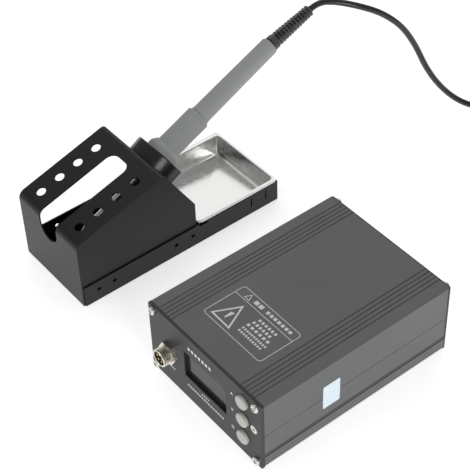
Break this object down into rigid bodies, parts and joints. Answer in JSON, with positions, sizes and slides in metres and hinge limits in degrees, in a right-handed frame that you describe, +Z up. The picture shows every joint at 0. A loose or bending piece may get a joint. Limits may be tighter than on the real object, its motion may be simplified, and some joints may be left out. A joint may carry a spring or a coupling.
{
  "type": "soldering iron station",
  "caption": "Soldering station: control unit in a split aluminium case with display, buttons and iron socket; sheet-metal stand with tray and holder ring; iron on a coiled cord.",
  "frame": {"origin": "on the table, under the middle of the box around everything but the cord", "axes": "+Z up; the control unit's front panel faces -Y; the stand is on the -X side with its tray towards +Y"},
  "size_m": [0.2414, 0.3858, 0.1178],
  "materials": {
    "anodised": "satin anodised, fine brushed grain",
    "screw_steel": "bright zinc plated",
    "display_black": "glossy dark acrylic",
    "circuit_board": "solder-masked board",
    "button_grey": "satin moulded",
    "black_plastic": "moulded black",
    "nickel": "nickel plated",
    "contact_brass": "plated contact",
    "winding": "taped winding on ferrite",
    "capacitor_sleeve": "shrink sleeve",
    "bare_aluminium": "mill finish",
    "wire_sleeve": "insulated wire",
    "sticker": "pale vinyl",
    "stand_black": "satin black powder coat",
    "ring_black": "satin black moulded",
    "tinplate": "bright tinplate",
    "tip_steel": "plated steel",
    "handle_grey": "matt grey moulding",
    "relief_black": "ribbed soft moulding",
    "cord_black": "silicone jacket"
  },
  "bodies": {
    "root": {"top_shell": "anodised", "bottom_shell": "anodised", "front_panel": "anodised", "rear_panel": "anodised", "front_panel_screws": "screw_steel", "rear_panel_screws": "screw_steel", "spacer_screw": "screw_steel", "mains_inlet_screws": "screw_steel", "board_spacers": "screw_steel", "power_board_spacers": "screw_steel", "display_window": "display_black", "display_module": "circuit_board", "control_board": "circuit_board", "power_board": "circuit_board", "tact_switches": "black_plastic", "iron_socket_insert": "black_plastic", "mains_inlet": "black_plastic", "power_switch_frame": "black_plastic", "plug_insert": "black_plastic", "cord_tie": "black_plastic", "iron_socket_shell": "nickel", "iron_socket_nut": "nickel", "plug_body": "nickel", "plug_clamp": "nickel", "iron_socket_pins": "contact_brass", "mains_inlet_pins": "contact_brass", "power_switch_terminals": "contact_brass", "power_transformer": "winding", "power_capacitors": "capacitor_sleeve", "mains_fuse": "capacitor_sleeve", "heat_sinks": "bare_aluminium", "mains_wires": "wire_sleeve", "socket_wires": "wire_sleeve", "side_sticker": "sticker", "stand_cover": "stand_black", "stand_base": "stand_black", "holder_ring": "ring_black", "holder_nut": "ring_black", "iron_cord": "cord_black", "cord_coil": "cord_black", "cord_tail": "cord_black"},
    "iron": {"iron_cartridge": "tip_steel", "iron_nose_nut": "tip_steel", "iron_collar": "handle_grey", "iron_grip": "handle_grey", "iron_handle": "handle_grey", "iron_contact_block": "black_plastic", "iron_wires": "wire_sleeve", "iron_strain_relief": "relief_black"},
    "tray": {"solder_tray": "tinplate"},
    "up_button": {"up_button": "button_grey"},
    "down_button": {"down_button": "button_grey"},
    "menu_button": {"menu_button": "button_grey"},
    "switch_rocker": {"power_switch_rocker": "black_plastic"},
    "plug_ring": {"plug_coupling_ring": "nickel"}
  },
  "joints": [
    {"name": "iron_lift", "type": "slide", "parent": "root", "child": "iron", "axis": [0, 0.9063, 0.4226], "range_m": [0, 0.11], "deforming": ["iron_cord"]},
    {"name": "tray_lift", "type": "slide", "parent": "root", "child": "tray", "axis": [0, 0, 1], "range_m": [0, 0.02]},
    {"name": "up_button_press", "type": "slide", "parent": "root", "child": "up_button", "axis": [0, 1, 0], "range_m": [0, 0.0006], "stiffness_N_per_m": 1500},
    {"name": "down_button_press", "type": "slide", "parent": "root", "child": "down_button", "axis": [0, 1, 0], "range_m": [0, 0.0006], "stiffness_N_per_m": 1500},
    {"name": "menu_button_press", "type": "slide", "parent": "root", "child": "menu_button", "axis": [0, 1, 0], "range_m": [0, 0.0006], "stiffness_N_per_m": 1500},
    {"name": "switch_rock", "type": "hinge", "parent": "root", "child": "switch_rocker", "pos_m": [0.09265, 0.0429, 0.0276], "axis": [-1, 0, 0], "range_deg": [0, 20]},
    {"name": "plug_ring_turn", "type": "hinge", "parent": "root", "child": "plug_ring", "pos_m": [0.03715, 0.182, 0.0076], "axis": [0, 1, 0], "continuous": true}
  ]
}
